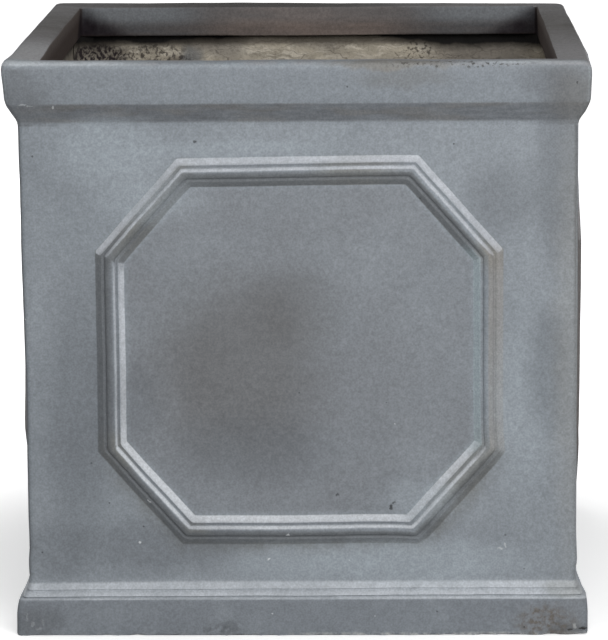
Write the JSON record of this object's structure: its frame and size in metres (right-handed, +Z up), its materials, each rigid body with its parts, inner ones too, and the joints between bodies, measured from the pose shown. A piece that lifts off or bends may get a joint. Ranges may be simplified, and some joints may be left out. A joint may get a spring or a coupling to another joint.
{
  "type": "square planter",
  "caption": "Square planter with a projecting rim, a raised octagonal moulding on each face, a stepped plinth and a drain hole in its floor.",
  "frame": {"origin": "centre of the foot, on the ground", "axes": "+Z up through the opening, -Y out of the front face in the picture, +X to its right"},
  "size_m": [0.4, 0.4, 0.4],
  "materials": {
    "lead_look_clay": "matte",
    "rough_laminate": "matte"
  },
  "bodies": {
    "root": {"front_wall": "lead_look_clay", "front_rim": "lead_look_clay", "right_wall": "lead_look_clay", "right_rim": "lead_look_clay", "back_wall": "lead_look_clay", "back_rim": "lead_look_clay", "left_wall": "lead_look_clay", "left_rim": "lead_look_clay", "front_backing": "rough_laminate", "right_backing": "rough_laminate", "back_backing": "rough_laminate", "left_backing": "rough_laminate", "front_right_corner_bond": "rough_laminate", "back_right_corner_bond": "rough_laminate", "back_left_corner_bond": "rough_laminate", "front_left_corner_bond": "rough_laminate", "floor_panel": "rough_laminate", "floor_bond": "rough_laminate"}
  },
  "joints": []
}
